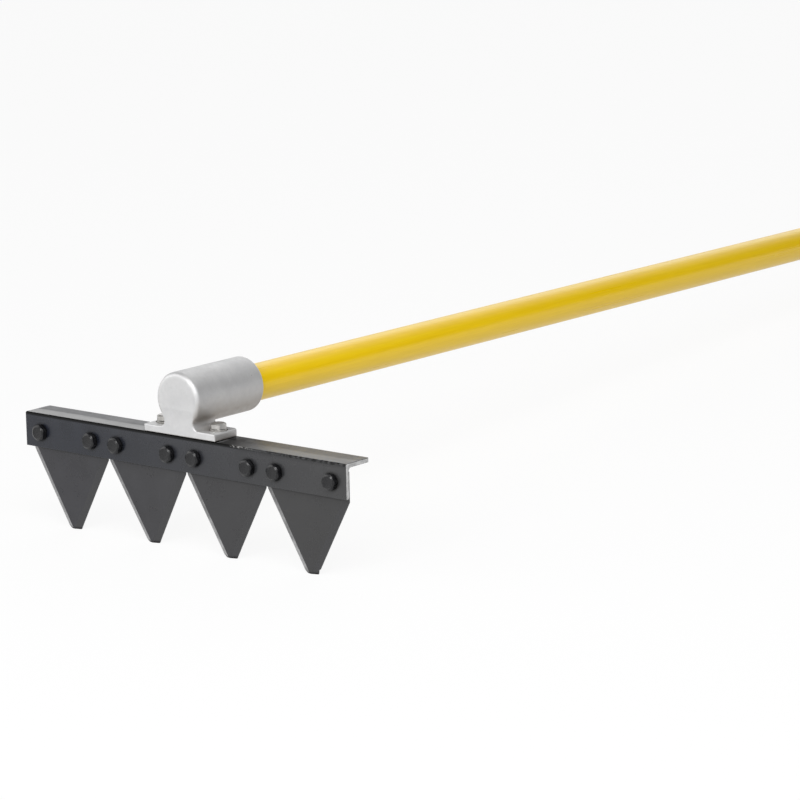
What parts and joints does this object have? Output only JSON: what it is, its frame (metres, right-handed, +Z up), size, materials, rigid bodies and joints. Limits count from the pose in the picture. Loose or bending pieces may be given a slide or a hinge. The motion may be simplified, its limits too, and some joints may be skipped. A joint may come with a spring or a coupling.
{
  "type": "fire rake",
  "caption": "Fire rake with pointed cutting teeth bolted in a row behind an angle bar, a cast handle socket bolted on top and a long round handle.",
  "frame": {"origin": "on the ground, in the middle of the tool's footprint, with the tooth tips and the butt cap resting on Z = 0", "axes": "+Y from the tooth row to the butt end, +Z up away from the ground, +X along the bar to the right when the front of the teeth is looked at"},
  "size_m": [0.3084, 1.5394, 0.1314],
  "materials": {
    "black_paint": "satin",
    "black_bolt": "satin",
    "cast_aluminium": "as cast",
    "zinc_plate": "bright zinc plated",
    "yellow_fibreglass": "semi gloss",
    "foam": "matte",
    "adhesive": "matte",
    "black_rubber": "matte"
  },
  "bodies": {
    "root": {"angle_bar": "black_paint", "tooth_1": "black_paint", "tooth_2": "black_paint", "tooth_3": "black_paint", "tooth_4": "black_paint", "tooth_bolt_1": "black_bolt", "tooth_bolt_2": "black_bolt", "tooth_bolt_3": "black_bolt", "tooth_bolt_4": "black_bolt", "tooth_bolt_5": "black_bolt", "tooth_bolt_6": "black_bolt", "tooth_bolt_7": "black_bolt", "tooth_bolt_8": "black_bolt", "tooth_lock_washer_1": "black_bolt", "tooth_lock_washer_2": "black_bolt", "tooth_lock_washer_3": "black_bolt", "tooth_lock_washer_4": "black_bolt", "tooth_lock_washer_5": "black_bolt", "tooth_lock_washer_6": "black_bolt", "tooth_lock_washer_7": "black_bolt", "tooth_lock_washer_8": "black_bolt", "tooth_nut_1": "black_bolt", "tooth_nut_2": "black_bolt", "tooth_nut_3": "black_bolt", "tooth_nut_4": "black_bolt", "tooth_nut_5": "black_bolt", "tooth_nut_6": "black_bolt", "tooth_nut_7": "black_bolt", "tooth_nut_8": "black_bolt", "handle_socket": "cast_aluminium", "socket_bolt_left": "zinc_plate", "socket_bolt_right": "zinc_plate", "socket_washer_left": "zinc_plate", "socket_washer_right": "zinc_plate", "socket_nut_left": "zinc_plate", "socket_nut_right": "zinc_plate", "handle_tube": "yellow_fibreglass", "handle_core": "foam", "handle_adhesive": "adhesive", "butt_cap": "black_rubber"}
  },
  "joints": []
}
